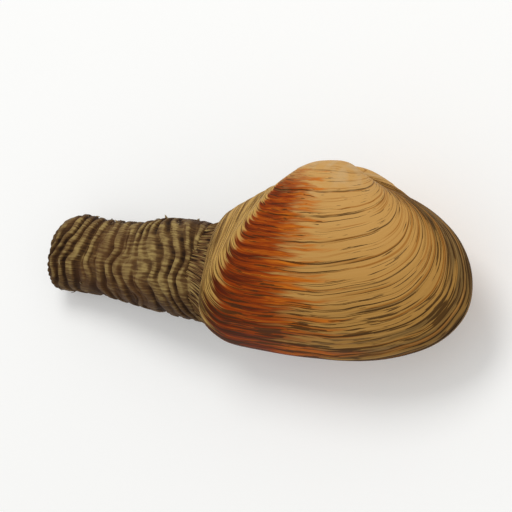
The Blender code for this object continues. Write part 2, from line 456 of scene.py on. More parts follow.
def valve_tree(law):
    """A valve grown from its edge: columns round it, and rows from the beak over the lip to the inside."""
    add, given, result = new_tree(
        "valve_growth",
        *PIECE_INPUTS,
        GROWTH_INPUTS,
        "Int: Around, Outside rows, Inside rows",
        "Float: Side, First stage, Hollow stage, Wall, Gap, Ledge, Growth line, Seed",
    )
    rows = add("Math ADD", given["Outside rows"], given["Inside rows"])
    grid, around, along = new_grid(add, given, rows)

    # Rows: growth stage, how far round the lip and down the inside, and how far closed over a pole.
    last_row = add("Math SUBTRACT", rows, 1.0)
    lip_row = add("Math SUBTRACT", given["Outside rows"], 1.0)
    row = add("Math MULTIPLY", along, last_row)
    growth = add("MapRange", row, 0.0, lip_row, given["First stage"], 1.0)
    inwards = add("MapRange", row, lip_row, last_row)
    eased = add("Math POWER", inwards, 1.5)
    inner = add("Math MULTIPLY", eased, add("Math SUBTRACT", given["Hollow stage"], 1.0))
    stage = add("Math ADD", growth, inner)
    open_cap = add("Math SINE", add("MapRange", row, 0.0, CAP_ROWS, 0.0, math.pi / 2))
    open_hollow = add("MapRange", row, add("Math SUBTRACT", last_row, HOLLOW_ROWS), last_row, 1.0, 0.0)
    openness = add("Math MULTIPLY", open_cap, open_hollow)

    curve, margin, tangent = trace_margin(add, given, around)
    middle = add(
        "AttributeStatistic",
        Geometry=add("ResampleCurve", Curve=curve, Count=EDGE_POINTS),
        Attribute=add("InputPosition").outputs[0],
        data_type="FLOAT_VECTOR",
    )
    law_values = {name: given[name] for name in GROWTH_NAMES}
    grown = partial(add, "GeometryNodeGroup", node_tree=law, Tangent=tangent, **law_values)
    here = grown(Margin=add("Mix VECTOR", openness, middle, margin), Stage=stage)
    # A little older and a little younger, for the way the surface runs from the beak.
    back = grown(Margin=margin, Stage=add("Math MULTIPLY", stage, 1 - NEARBY))
    forth = grown(Margin=margin, Stage=add("Math MULTIPLY", stage, 1 + NEARBY))
    across = add("VectorMath SUBTRACT", forth, back)
    normal = add("VectorMath NORMALIZE", add("VectorMath CROSS_PRODUCT", here.outputs["Along"], across))

    # Relief of the outside: steps where growth paused, and fine irregular lines that crowd towards the edge.
    turn = add("Math MULTIPLY", around, math.tau)
    cosine = add("Math COSINE", turn)
    sine = add("Math SINE", turn)
    drift_at = add("VectorMath MULTIPLY", add("CombineXYZ", cosine, sine, stage), (1.3, 1.3, 4.0))
    drift = add("TexNoise 4D", Vector=drift_at, W=given["Seed"], Scale=1.0)
    drifted = add("Math ADD", stage, add("MapRange", drift, 0.0, 1.0, -0.02, 0.02))
    share = add("Math FRACT", count_pauses(add, drifted))
    drop = add("MapRange SMOOTHSTEP", share, 0.9, 1.0, 1.0, 0.0)
    step = add("Math MULTIPLY", add("Math POWER", share, 2.0), drop)
    strength = add("MapRange", drift, 0.35, 0.65, 0.35, 1.1)
    ledge = add("Math MULTIPLY", add("Math MULTIPLY", step, strength), given["Ledge"])
    fine_at = add("CombineXYZ", cosine, sine, add("Math MULTIPLY", drifted, 80.0))
    fine = add("TexNoise 4D", Vector=fine_at, W=given["Seed"], Scale=1.0, Detail=3.0, Roughness=0.6)
    crowding = add("MapRange", stage, 0.15, 0.95, 0.3, 1.6)
    lined = add("Math MULTIPLY", add("Math SUBTRACT", fine, 0.5), crowding)
    line = add("Math MULTIPLY", lined, given["Growth line"])
    relief = add("Math ADD", ledge, line)
    calm = add("MapRange", growth, 0.1, 0.3)
    outer = add("Math MULTIPLY", calm, add("MapRange", inwards, 0.0, 0.05, 1.0, 0.0))
    height = add("Math MULTIPLY", relief, outer)
    sunk = add("MapRange SMOOTHSTEP", inwards, 0.0, 0.16)
    wall = add("Math MULTIPLY", sunk, given["Wall"])
    rise_total = add("Math SUBTRACT", height, wall)
    open_rise = add("Math MULTIPLY", rise_total, openness)
    place = add("VectorMath ADD", here, add("VectorMath SCALE", Vector=normal, Scale=open_rise))

    # The gap between the valves, the side, and how the clam lies.
    floor = add("CombineXYZ", -1.0, -1.0, add("Math MULTIPLY", given["Gap"], 0.5))
    clear = add("VectorMath MAXIMUM", place, floor)
    sided = add("VectorMath MULTIPLY", clear, add("CombineXYZ", 1.0, 1.0, given["Side"]))
    lying = lay(add, given, sided)

    growth_map = add("CombineXYZ", around, add("Math ADD", drifted, inwards), 0.0)
    closed = close_grid(add, grid, lying, "growth_map", growth_map)
    left = add("Compare", given["Side"], 0.0, data_type="FLOAT", operation="LESS_THAN")
    return finish(add, given, result, add("FlipFaces", Mesh=closed, Selection=left))


def new_material(name, **sockets):
    """A material, the function that adds its nodes, and its shader with the sockets set."""
    material = bpy.data.materials.new(name)
    material.use_nodes = True
    tree = material.node_tree
    return material, partial(add_node, tree), fill(tree.nodes["Principled BSDF"], **sockets)


def shell_material(shell):
    """Chalky aragonite under a thin, worn skin of straw to olive conchiolin.

    The eye sees a nearly matt surface with long, thin brown growth lines where the dark skin stays, crowded
    towards the edge, and a rust brown stain that streaks along them over the hind part.
    """
    material, add, shader = new_material(
        "worn_conchiolin_on_aragonite", Roughness=0.6, IOR=1.53, Specular_IOR_Level=0.08
    )
    place = add("UVMap", uv_map="growth_map")
    shares = add("SeparateXYZ", place).outputs
    around, stage = shares["X"], shares["Y"]
    pauses = count_pauses(add, stage)
    share = add("Math FRACT", pauses)

    # Noise drawn out along the growth lines: how often it changes round the valve, which is 205 mm, and from
    # the beak to the belly, which is 64 mm over the surface, its detail and its roughness.
    grains = (
        (7.0, 52.0, 3.0, 0.55),  # Streaks about 1 mm wide.
        (3.4, 170.0, 2.0, 0.5),  # Lines 0.4 mm wide and 60 mm long.
        (15.0, 125.0, 2.0, 0.5),  # Strokes 0.5 mm wide and 14 mm long.
        (13.0, 9.0, 2.0, 0.5),  # Patches 7 by 16 mm, which keep any one tone from going all the way round.
        (3.0, 78.0, 1.0, 0.5),  # Soft lines 0.8 mm wide.
    )
    streak, fine, stroke, patch, gingers = (
        add(
            "TexNoise 2D",
            Vector=add("VectorMath MULTIPLY", place, (often_round, often_out, 0.0)),
            Scale=1.0,
            Detail=detail,
            Roughness=roughness,
        )
        for often_round, often_out, detail, roughness in grains
    )

    # Straw at the beaks to olive at the edge, sooner at the front. It is partly the skin's own colour and
    # partly painted shade that darkens the shell towards its edge.
    front = add("MapRange SMOOTHSTEP", around, 0.05, 0.3, 0.32, 0.0)
    age = add("Math ADD", stage, front)
    aged = add("Math ADD", age, add("MapRange", streak, 0.3, 0.7, -0.05, 0.05))
    tones = ((0.3, shell.straw), (0.7, shell.tan), (0.93, shell.ochre), (1.08, shell.olive))
    base = add("ValToRGB", aged, stops=tones)

    # The rust stain: ragged along the growth lines on its front side, darkest where they bend to the hinge.
    ragged = add("MapRange", streak, 0.25, 0.75, -0.08, 0.08)
    rusty = add("MapRange SMOOTHSTEP", add("Math ADD", around, ragged), 0.43, 0.55)
    hind_edge = add("Math MULTIPLY_ADD", ragged, 0.35, around)
    banded = add("MapRange SMOOTHSTEP", hind_edge, *HIND_BAND)
    before_band = add("MapRange SMOOTHSTEP", hind_edge, *HIND_BAND, 1.0, 0.0)
    from_beak = add("MapRange SMOOTHSTEP", aged, 0.2, 0.36)
    stain = add("Math MULTIPLY", add("Math MULTIPLY", rusty, before_band), from_beak)
    bending = add("MapRange SMOOTHSTEP", around, 0.5, 0.645, 0.62, 0.28)
    sharpened = add("MapRange", add("Math ADD", stroke, fine), 0.7, 1.3, -0.2, 0.2)
    streaked = add("MapRange", streak, 0.3, 0.7, -0.28, 0.28)
    tone = add("Math ADD", add("Math ADD", streaked, sharpened), bending)
    rust = add("ValToRGB", tone, stops=((0.1, shell.rust_dark), (0.9, shell.rust_light), (0.45, shell.rust)))
    stained = add("Mix RGBA", stain, base, rust)

    # The pale golden band along the hind edge, with dark strands.
    band = add("Math MULTIPLY", banded, add("MapRange", stage, 0.2, 0.4))
    tones = ((0.8, shell.strand), (0.98, shell.band))
    strands = add("ValToRGB", add("Math ADD", streak, stroke), stops=tones)
    pale = add("Mix RGBA", band, stained, strands)

    # Short dark strokes, crowded at the edge, in the hind part and along the hinge.
    start = add("MapRange", patch, 0.35, 0.65, 0.72, 0.66)
    for crowding in (
        add("MapRange", age, 0.72, 1.0, 0.0, 0.21),
        add("MapRange SMOOTHSTEP", around, 0.5, 0.62, 0.0, 0.07),
        add("MapRange SMOOTHSTEP", around, 0.25, 0.13, 0.0, 0.2),
    ):
        start = add("Math SUBTRACT", start, crowding)
    start = add("Math MAXIMUM", start, 0.5)
    dash = add("MapRange", stroke, start, add("Math ADD", start, 0.03), 0.0, 0.85)

    # Long thin lines, and one at the foot of each step, which thin out and break off here and there.
    crowded = add("MapRange", age, 0.55, 1.0, 0.7, 0.585)
    thin = add("MapRange", fine, crowded, add("Math ADD", crowded, 0.02), 0.0, 0.9)
    ending = add("MapRange", share, 0.97, 1.0, 1.0, 0.0)
    foot = add("Math MULTIPLY", add("MapRange", share, 0.92, 0.96), ending)
    break_at = add("CombineXYZ", around, add("Math FLOOR", pauses), 0.0)
    breaks = add("TexNoise 2D", Vector=add("VectorMath MULTIPLY", break_at, (6.0, 5.3, 0.0)), Scale=1.0)
    pause = add("Math MULTIPLY", foot, add("MapRange", breaks, 0.4, 0.52, 0.0, 0.95))
    every = add("Math MAXIMUM", add("Math MAXIMUM", thin, pause), dash)
    lines = add("Math MULTIPLY", every, add("MapRange", stage, 0.12, 0.34))
    lined = add("Mix RGBA", lines, pale, shell.ink)

    # Soft ginger lines between them on the front half, and painted highlights in pale lines off the stain.
    soft = add("MapRange", gingers, 0.6, 0.66, 0.0, 0.7)
    ginger = add("Math MULTIPLY", soft, add("MapRange", around, 0.46, 0.36))
    gingered = add("Mix RGBA", ginger, lined, shell.ginger)
    clean = add("MapRange", stain, 0.0, 0.5, 1.0, 0.0)
    light = add("Math MULTIPLY", add("MapRange", fine, 0.42, 0.34, 0.0, 0.35), clean)
    highlit = add("Mix RGBA", light, gingered, shell.straw)

    # The oldest shell, at the beaks, is worn to patches of chalk.
    patches = add("Math MULTIPLY", add("MapRange", patch, 0.42, 0.66, 0.0, 0.6), clean)
    bare = add("Math MULTIPLY", add("MapRange SMOOTHSTEP", aged, 0.44, 0.22), patches)
    chalky = add("Mix RGBA", bare, highlit, shell.chalk)

    # The inside, which the map puts past a stage of 1, is pale and chalky.
    inner = add("Mix RGBA", add("MapRange", stage, 1.04, 1.09), chalky, shell.pearl)
    dull = add("MapRange", fine, 0.35, 0.65, 0.5, 0.7)
    bump = add("Bump", Strength=0.4, Distance=0.00015, Height=fine, invert=True)
    fill(shader, Base_Color=inner, Roughness=dull, Normal=bump)
    return material


class GAPER_OT_valves(bpy.types.Operator):
    """Grow the right and the left valve from their edge"""

    bl_idname = "gaper.valves"
    bl_label = "Valves"

    def execute(self, context):
        shell = context.scene.gaper_shell
        material = shell_material(shell)
        tree = valve_tree(growth_law())
        for name, side in (("right_valve", 1.0), ("left_valve", -1.0)):
            piece = course(name + "_shell", MARGIN, loop=True)
            grow(piece, tree, material, shell, side=side, seed=3.7 + side)
            dress(piece, "shell", name)
        return {"FINISHED"}


def siphon_outline():
    """The outline of one side of the siphon as X and distance from its middle, with that middle's Y and Z.

    It closes to a round end inside the shell and to a blunt, nearly flat tip.
    """
    inner, tip = SIPHON_SECTIONS[0][0], SIPHON_SECTIONS[-1][0]
    stations = []
    for bend in map(math.radians, (0, 20, 45, 70)):
        stations.append((inner - INNER_ROUNDING * (1 - math.cos(bend)), math.sin(bend)))
    x = inner - INNER_ROUNDING
    while x > tip + TIP_ROUNDING:
        stations.append((x, 1.0))
        x -= STATION_STEP
    for bend in map(math.radians, (0, 25, 50, 75, 90)):
        share = TIP_FLAT + (1 - TIP_FLAT) * math.cos(bend)
        stations.append((tip + TIP_ROUNDING * (1 - math.sin(bend)), share))
    stations += [(tip + 0.2, TIP_FLAT * 0.6), (tip + 0.3, TIP_FLAT * 0.3), (tip + 0.3, 0.0)]
    rows = []
    for x, share in stations:
        for start, end in zip(SIPHON_SECTIONS, SIPHON_SECTIONS[1:]):
            if x >= end[0] or end is SIPHON_SECTIONS[-1]:
                break
        part = (x - start[0]) / (end[0] - start[0])
        y, z, height, thickness = (a + part * (b - a) for a, b in zip(start[1:], end[1:]))
        rows.append(((x, share * height, 0.0), y * MM, z * MM, thickness / height))
    return rows


def siphon_tree():
    """The siphon: columns round it and rows along its outline, with folds of loose skin across it."""
    add, given, result = new_tree(
        "siphon_skin",
        *PIECE_INPUTS,
        "Int: Around, Along",
        "Float: Squareness, Fold pitch, Fold, Crease, Tip lean, Opening",
        "Vector: Tip middle",
    )
    grid, around, along = new_grid(add, given, given["Along"])
    outline = add("SetSplineResolution", Geometry=smooth_line(add, given), Resolution=12)
    samples = []
    for name in ("middle_y", "middle_z", "flatness"):
        value = add("InputNamedAttribute", Name=name, data_type="FLOAT")
        sample = add(
            "SampleCurve", Curves=outline, Value=value, Factor=along, mode="FACTOR", use_all_curves=True
        )
        samples.append(sample.outputs)
    middle_y, middle_z, flatness = (sample["Value"] for sample in samples)
    station = add("SeparateXYZ", samples[0]["Position"]).outputs
    x, reach = station["X"], add("Math MAXIMUM", station["Y"], 0.0)

    # A rounded rectangle of the given squareness, which leans at the blunt end.
    turn = add("Math MULTIPLY", around, math.tau)
    power = add("Math DIVIDE", 2.0, given["Squareness"])
    sides = []
    for wave in (add("Math COSINE", turn), add("Math SINE", turn)):
        bent = add("Math POWER", add("Math ABSOLUTE", wave), power)
        sides.append(add("Math MULTIPLY", add("Math SIGN", wave), bent))
    upward, sideways = sides
    tip_height = SIPHON_SECTIONS[-1][3] * MM
    rise = add("Math MULTIPLY_ADD", upward, reach, tip_height)
    near_end = add("MapRange", x, -0.075, -0.088, 0.0, given["Tip lean"])
    place = add(
        "CombineXYZ",
        add("Math MULTIPLY_ADD", rise, near_end, x),
        add("Math MULTIPLY_ADD", upward, reach, middle_y),
        add("Math MULTIPLY_ADD", sideways, add("Math MULTIPLY", reach, flatness), middle_z),
    )
    merged = close_grid(add, grid, place, "skin_map", grid.outputs["UV Map"])
    closed = add("FlipFaces", Mesh=merged)

    # Folds across the siphon: they lean with it, bend and crowd, and shallow ones part them in places.
    at = add("InputPosition")
    spot = add("SeparateXYZ", at).outputs
    bend_at = add("VectorMath MULTIPLY", at, (62.0, 95.0, 95.0))
    bend = add("TexNoise 4D", Vector=bend_at, W=2.3, Scale=1.0, Detail=1.5)
    slope = add("MapRange", spot["X"], -0.09, -0.045, -0.5, 0.3)
    slanted = add("Math MULTIPLY_ADD", add("Math ADD", spot["Y"], 0.0235), slope, spot["X"])
    count = add("Math MULTIPLY", slanted, add("Math DIVIDE", 1.0, given["Fold pitch"]))
    fold_turn = add("Math MULTIPLY", add("Math MULTIPLY_ADD", bend, 4.2, count), math.tau)
    groove = add("MapRange SMOOTHSTEP", add("Math COSINE", fold_turn), -0.5, 1.0)
    fading_at = add("VectorMath MULTIPLY", at, (230.0, 90.0, 90.0))
    fading = add("TexNoise 4D", Vector=fading_at, W=0.7, Scale=1.0, Detail=1.0)
    faded = add("Math MULTIPLY", groove, add("MapRange", fading, 0.38, 0.54, 0.35, 1.0))
    part_wave = add("Math COSINE", add("Math MULTIPLY_ADD", fold_turn, 2.0, 2.4))
    part_at = add("VectorMath MULTIPLY", at, (130.0, 110.0, 110.0))
    part_noise = add("TexNoise 3D", Vector=part_at, Scale=1.0, Detail=1.0)
    part_here = add("MapRange", part_noise, 0.47, 0.62, 0.0, 0.7)
    parted = add("Math MULTIPLY", add("MapRange SMOOTHSTEP", part_wave, 0.0, 1.0), part_here)
    rounded = add("Math SUBTRACT", 1.0, add("Math MAXIMUM", faded, parted))

    # Fine creases that run along the siphon over the folds. All of it fades inside the shell.
    crease_at = add("VectorMath MULTIPLY", at, (220.0, 95.0, 95.0))
    crease_at = add("VectorMath MULTIPLY", crease_at, (1.0, 12.0, 12.0))
    crease = add("Math SUBTRACT", add("TexNoise 3D", Vector=crease_at, Scale=1.0), 0.5)
    fold = add("Math MULTIPLY", add("Math SUBTRACT", rounded, 0.55), given["Fold"])
    in_shell = add("MapRange SMOOTHSTEP", spot["X"], -0.029, -0.036, 0.15, 1.0)
    height = add("Math MULTIPLY", add("Math MULTIPLY_ADD", crease, given["Crease"], fold), in_shell)

    # The blunt end is puckered round two openings, a wide one towards the belly and a narrow one above it.
    face = add("MapRange", along, 0.885, 0.915)
    to_middle = add("VectorMath SUBTRACT", at, given["Tip middle"])
    flat_spot = add("VectorMath MULTIPLY", to_middle, (0.0, 1.0, 1.0))
    holes = []
    for above, rim, floor in OPENINGS:
        from_hole = add("VectorMath DISTANCE", flat_spot, (0.0, above, 0.0))
        holes.append(add("MapRange SMOOTHSTEP", from_hole, rim, floor))
    hole = add("Math MULTIPLY", add("Math MAXIMUM", *holes), face)
    pucker_wave = add("Math SINE", add("Math MULTIPLY_ADD", around, math.tau * PUCKERS, bend))
    pucker = add("Math MULTIPLY", pucker_wave, add("MapRange", along, 0.86, 0.9, 0.0, PUCKER_HEIGHT))
    pleat = add("Math MULTIPLY", pucker, add("MapRange", along, 0.94, 0.975, 1.0, 0.0))
    sunk = add("Math MULTIPLY_ADD", hole, given["Opening"], pleat)
    flatter = add("MapRange", face, 0.0, 1.0, 1.0, 0.25)
    raised = lift(add, closed, add("Math MULTIPLY_ADD", height, flatter, sunk))

    # How far out of the folds a point is, for the material, which paints shade from it in the folds and in
    # the two openings.
    on_face = add("Mix FLOAT", face, rounded, add("Math MULTIPLY_ADD", pucker_wave, 0.1, 0.72))
    open_hole = add("Math MULTIPLY_ADD", hole, -1.2, on_face)
    kept = add(
        "StoreNamedAttribute",
        Geometry=raised,
        Name="fold",
        Value=open_hole,
        data_type="FLOAT",
        domain="POINT",
    )
    return finish_lying(add, given, result, kept)


def siphon_material(siphon):
    """Leathery skin of dried conchiolin over muscle: dull, with painted shade in the folds and a painted
    highlight on their tops.
    """
    material, add, shader = new_material(
        "leathery_siphon_skin", Roughness=0.72, IOR=1.45, Specular_IOR_Level=0.15
    )
    at = add("TexCoord").outputs["Object"]
    fold = add("Attribute", attribute_name="fold").outputs["Fac"]
    place = add("UVMap", uv_map="skin_map")

    # Mottling 4 mm wide, and creases 0.5 mm wide and 5 mm long that run along the siphon.
    mottle = add("TexNoise", Vector=at, Scale=230.0, Detail=4.0, Roughness=0.6)
    crease = add("TexNoise 2D", Vector=add("VectorMath MULTIPLY", place, (125.0, 17.0, 0.0)), Scale=1.0)
    shift = add("MapRange", mottle, 0.3, 0.7, -0.3, 0.24)
    hatch = add("MapRange", crease, 0.34, 0.66, -0.32, 0.26)
    crossed = add("Math ADD", add("Math ADD", fold, shift), hatch)

    # Painted shade along its back and its belly, at the blunt end and near the ground.
    turn = add("Math MULTIPLY", add("SeparateXYZ", place).outputs["X"], math.tau)
    upward = add("Math COSINE", turn)
    back = add("MapRange SMOOTHSTEP", upward, 0.78, 1.0, 0.0, 0.5)
    belly = add("MapRange SMOOTHSTEP", upward, -0.25, -0.9, 0.0, 0.42)
    spot = add("SeparateXYZ", at).outputs
    end = add("MapRange", spot["X"], -0.058, -0.064, 0.0, 0.3)
    ground = add("MapRange", spot["Z"], 0.008, 0.001, 0.0, 0.4)
    dark = add("Math MAXIMUM", add("Math ADD", back, belly), add("Math MAXIMUM", end, ground))
    level = add("MapRange", add("Math SUBTRACT", crossed, dark), -0.5, 1.3)
    # The ramp paints shade at the bottom of the folds and a highlight on their tops.
    base = add("ValToRGB", level, stops=((0.16, siphon.groove), (0.98, siphon.ridge), (0.6, siphon.skin)))

    # Redder patches 10 mm wide.
    tinge = add("TexNoise 4D", Vector=at, W=5.1, Scale=95.0, Detail=3.0)
    tinged = add("Mix RGBA", add("MapRange", tinge, 0.42, 0.62, 0.0, 0.42), base, siphon.warm)
    # The underside colour paints more of this shade.
    skin = add("Mix RGBA", add("Math MULTIPLY", dark, 0.7), tinged, siphon.under)
    dull = add("MapRange", fold, 0.0, 1.0, 0.85, 0.62)
    bump = add("Bump", Strength=0.5, Distance=0.00025, Height=crease)
    fill(shader, Base_Color=skin, Roughness=dull, Normal=bump)
    return material


class GAPER_OT_siphon(bpy.types.Operator):
    """Shape the siphon and its folds of loose skin"""

    bl_idname = "gaper.siphon"
    bl_label = "Siphon"

    def execute(self, context):
        siphon = context.scene.gaper_siphon
        points, middle_y, middle_z, flatness = zip(*siphon_outline())
        piece = course("siphon_skin", points, middle_y=middle_y, middle_z=middle_z, flatness=flatness)
        grow(
            piece,
            siphon_tree(),
            siphon_material(siphon),
            siphon,
            fold=siphon.fold,
            crease=siphon.crease,
            tip_lean=0.05,
            tip_middle=tuple(part * MM for part in SIPHON_SECTIONS[-1][:3]),
            opening=-siphon.opening,
        )
        dress(piece, "siphon_skin", "siphon")
        return {"FINISHED"}


def cuff_tree():
    """The pleated skin from the gape of the valves to the siphon. Both its ends are closed inside them."""
    add, given, result = new_tree(
        "gape_cuff", *PIECE_INPUTS, "Int: Around, Along", "Float: Gape start, Gape end, Pleats, Pleat"
    )
    grid, around, along = new_grid(add, given, given["Along"])

    # The rim follows the edge up the right valve and down the left.
    there = add("Math PINGPONG", add("Math MULTIPLY", around, 2.0), 1.0)
    edge = add("MapRange", there, 0.0, 1.0, given["Gape start"], given["Gape end"])
    margin = trace_margin(add, given, edge)[1]
    open_rim = add("VectorMath MAXIMUM", margin, (-1.0, -1.0, 0.0))
    right_left = add("Math SINE", add("Math MULTIPLY", around, math.tau))
    side = add("MapRange", right_left, -0.03, 0.03, -1.0, 1.0)
    both_sides = add("VectorMath MULTIPLY", open_rim, add("CombineXYZ", 1.0, 1.0, side))
    rim = add("VectorMath MULTIPLY_ADD", both_sides, *CUFF_RIM)

    # From there it bends to rings that lie just over and just under the skin of the siphon.
    turn = add("Math MULTIPLY_ADD", around, -math.tau, math.pi)
    ring = add("CombineXYZ", 0.0, add("Math COSINE", turn), add("Math SINE", turn))
    over = add("VectorMath MULTIPLY_ADD", ring, *CUFF_OVER)
    under = add("VectorMath MULTIPLY_ADD", ring, *CUFF_UNDER)
    start, end = CUFF_SKIN
    skin = add("MapRange", along, start, end)
    bent = add("Mix VECTOR", skin, add("Mix VECTOR", skin, rim, over), add("Mix VECTOR", skin, over, under))
    one_end = add("Mix VECTOR", add("MapRange", along, 0.0, start, 1.0, 0.0), bent, CUFF_POLES[0])
    both_ends = add("Mix VECTOR", add("MapRange", along, end, 1.0), one_end, CUFF_POLES[1])
    closed = close_grid(add, grid, both_ends, "skin_map", grid.outputs["UV Map"])

    # Pleats that run from the rim to the siphon and fade at both.
    loose = add("TexNoise 3D", Vector=add("InputPosition"), Scale=90.0, Detail=1.0)
    phase = add("Math MULTIPLY", add("Math MULTIPLY_ADD", around, given["Pleats"], loose), math.tau)
    window = add("Math SINE", add("Math MULTIPLY", skin, math.pi))
    pleats = add("Math MULTIPLY", add("Math SINE", phase), window)
    pleated = lift(add, closed, add("Math MULTIPLY", pleats, given["Pleat"]))
    return finish_lying(add, given, result, pleated)


def cuff_material(siphon):
    """Thin, drier skin where the mantle meets the shell: matt, with close ribs that run out of the shell."""
    material, add, shader = new_material(
        "dry_mantle_skin", Roughness=0.78, IOR=1.45, Specular_IOR_Level=0.12
    )
    # Ribs 0.5 mm wide at the rim, which is 107 mm round, and 0.3 mm at the siphon, where it is 71 mm round.
    rib_at = add("VectorMath MULTIPLY", add("UVMap", uv_map="skin_map"), (230.0, 2.5, 0.0))
    rib = add("TexNoise 2D", Vector=rib_at, Scale=1.0, Detail=1.5)
    base = add("ValToRGB", rib, stops=((0.36, siphon.groove), (0.72, siphon.ridge), (0.52, siphon.collar)))
    bump = add("Bump", Strength=0.5, Distance=0.0002, Height=rib)
    fill(shader, Base_Color=base, Normal=bump)
    return material


def shred_tree():
    """Shreds of worn skin that stand on the folds along the back of the siphon and round its tip."""
    add, given, result = new_tree(
        "skin_shreds",
        "Geometry: Geometry",
        "Float: Shreds, Spacing, Shred",
        "Int: Seed",
        "Material: Material",
    )
    spot = add("SeparateXYZ", add("InputPosition")).outputs
    tip = add("MapRange", spot["X"], -0.052, -0.06, 0.0, 0.5)
    back = add("MapRange", spot["Y"], 0.004, 0.007)
    outside = add("MapRange", add("SeparateXYZ", add("InputNormal")).outputs["X"], -0.75, -0.55)
    off_ground = add("MapRange", spot["Z"], 0.0015, 0.003)
    seen = add("Math MULTIPLY", add("Math MAXIMUM", tip, back), outside)
    dry = add("Math MULTIPLY", seen, off_ground)
    spread = add(
        "DistributePointsOnFaces",
        Mesh=given["Geometry"],
        Distance_Min=given["Spacing"],
        Density_Max=given["Shreds"],
        Density_Factor=dry,
        Seed=given["Seed"],
        distribute_method="POISSON",
    )
    # A thin blade that curls towards its end, turned and tipped at random.
    blade = add(
        "MeshCone",
        Vertices=5,
        Side_Segments=3,
        Radius_Top=0.15,
        Radius_Bottom=1.0,
        Depth=1.0,
        fill_type="TRIANGLE_FAN",
    )
    flat = add("VectorMath MULTIPLY", add("InputPosition"), (0.3, 0.07, 1.0))
    curl = add("Math POWER", add("SeparateXYZ", flat).outputs["Z"], 2.0)
    curled = add("CombineXYZ", 0.0, add("Math MULTIPLY", curl, 0.5), -0.05)
    bent = add("VectorMath ADD", flat, curled)
    shred = add("SetPosition", Geometry=blade, Position=bent)
    swing = add(
        "RandomValue",
        Min=(-1.25, -0.6, -math.pi),
        Max=(-0.5, 0.6, math.pi),
        Seed=given["Seed"],
        data_type="FLOAT_VECTOR",
    )
    swung = add(
        "RotateRotation", Rotation=spread.outputs["Rotation"], Rotate_By=swing, rotation_space="LOCAL"
    )
    share = add("RandomValue", Min=0.45, Max=1.2, Seed=given["Seed"], data_type="FLOAT")
    size = add("Math MULTIPLY", share, given["Shred"])
    stood = add(
        "InstanceOnPoints", Points=spread.outputs["Points"], Instance=shred, Rotation=swung, Scale=size
    )
    solid = add("RealizeInstances", Geometry=stood)
    soft = add("SetShadeSmooth", Geometry=solid, Shade_Smooth=True)
    return fill(result, Geometry=add("SetMaterial", Geometry=soft, Material=given["Material"])).id_data


def shred_material(siphon):
    """Dry flakes of the outer skin: paler than the rest because light comes through their edges."""
    material, add, shader = new_material("dry_skin_flakes", Roughness=0.8, IOR=1.45)
    # Mottling 1.1 mm wide.
    mottle = add("TexNoise", Vector=add("TexCoord").outputs["Object"], Scale=900.0)
    base = add("ValToRGB", mottle, stops=((0.35, siphon.skin), (0.6, siphon.frayed)))
    fill(shader, Base_Color=base)
    return material


class GAPER_OT_cuff(bpy.types.Operator):
    """Stretch the pleated cuff from the gape to the siphon"""

    bl_idname = "gaper.cuff"
    bl_label = "Cuff"

    def execute(self, context):
        piece = course("mantle_cuff", MARGIN, loop=True)
        grow(
            piece,
            cuff_tree(),
            cuff_material(context.scene.gaper_siphon),
            around=384,
            along=64,
            gape_start=0.606,
            gape_end=0.865,
            pleats=92.0,
            pleat=0.00018,
        )
        dress(piece, "siphon_skin")
        return {"FINISHED"}


class GAPER_OT_shreds(bpy.types.Operator):
    """Stand shreds of worn skin on the siphon"""

    bl_idname = "gaper.shreds"
    bl_label = "Shreds"

    def execute(self, context):
        siphon = context.scene.gaper_siphon
        piece = bpy.data.objects.new("skin_shreds", bpy.data.objects["siphon_skin"].data.copy())
        context.scene.collection.objects.link(piece)
        piece.data.materials.clear()
        grow(
            piece,
            shred_tree(),
            shred_material(siphon),
            siphon,
            shreds=float(siphon.shreds),
            spacing=0.0007,
            seed=11,
        )
        dress(piece, "siphon_skin")
        return {"FINISHED"}


def ligament_tree():
    """The ligament: a ringed cord that swells in its middle, swept along the seam."""
    add, given, result = new_tree("ligament_cord", *PIECE_INPUTS, "Int: Around, Along", "Float: Ring")
    even = add("ResampleCurve", Curve=smooth_line(add, given), Count=given["Along"])
    profile = add("CurvePrimitiveCircle", Resolution=given["Around"], Radius=1.0)
    half_width = add("InputNamedAttribute", Name="half_width", data_type="FLOAT")
    swept = add("CurveToMesh", Curve=even, Profile_Curve=profile, Scale=half_width, Fill_Caps=True)
    closed = add("MergeByDistance", Geometry=swept, Distance=1e-7)
    ring_at = add("VectorMath MULTIPLY", add("InputPosition"), (2600.0, 350.0, 350.0))
    ring = add("TexNoise 3D", Vector=ring_at, Scale=1.0)
    height = add("Math MULTIPLY", add("Math SUBTRACT", ring, 0.5), given["Ring"])
    ringed = lift(add, closed, height)
    return finish_lying(add, given, result, ringed)


def ligament_material(ligament):
    """Dried, horny ligament: dark brown with a low shine and fine rings across it."""
    material, add, shader = new_material(
        "dried_horn_ligament", Roughness=0.55, IOR=1.54, Specular_IOR_Level=0.15
    )
    # Rings 0.3 mm wide.
    ring_at = add("VectorMath MULTIPLY", add("TexCoord").outputs["Object"], (3300.0, 500.0, 500.0))
    ring = add("TexNoise", Vector=ring_at, Scale=1.0, Detail=3.0)
    base = add("ValToRGB", ring, stops=((0.35, ligament.horn), (0.65, ligament.worn)))
    bump = add("Bump", Strength=0.5, Distance=0.0001, Height=ring)
    fill(shader, Base_Color=base, Normal=bump)
    return material


class GAPER_OT_ligament(bpy.types.Operator):
    """Lay the ligament along the seam behind the beaks"""

    bl_idname = "gaper.ligament"
    bl_label = "Ligament"

    def execute(self, context):
        ligament = context.scene.gaper_ligament
        points = [(x, y, 0.0) for x, y, half in LIGAMENT]
        widths = [half * MM for x, y, half in LIGAMENT]
        piece = course("ligament_cord", points, half_width=widths)
        grow(piece, ligament_tree(), ligament_material(ligament), ligament, ring=ligament.ring)
        dress(piece, "ligament_horn", "ligament")
        return {"FINISHED"}


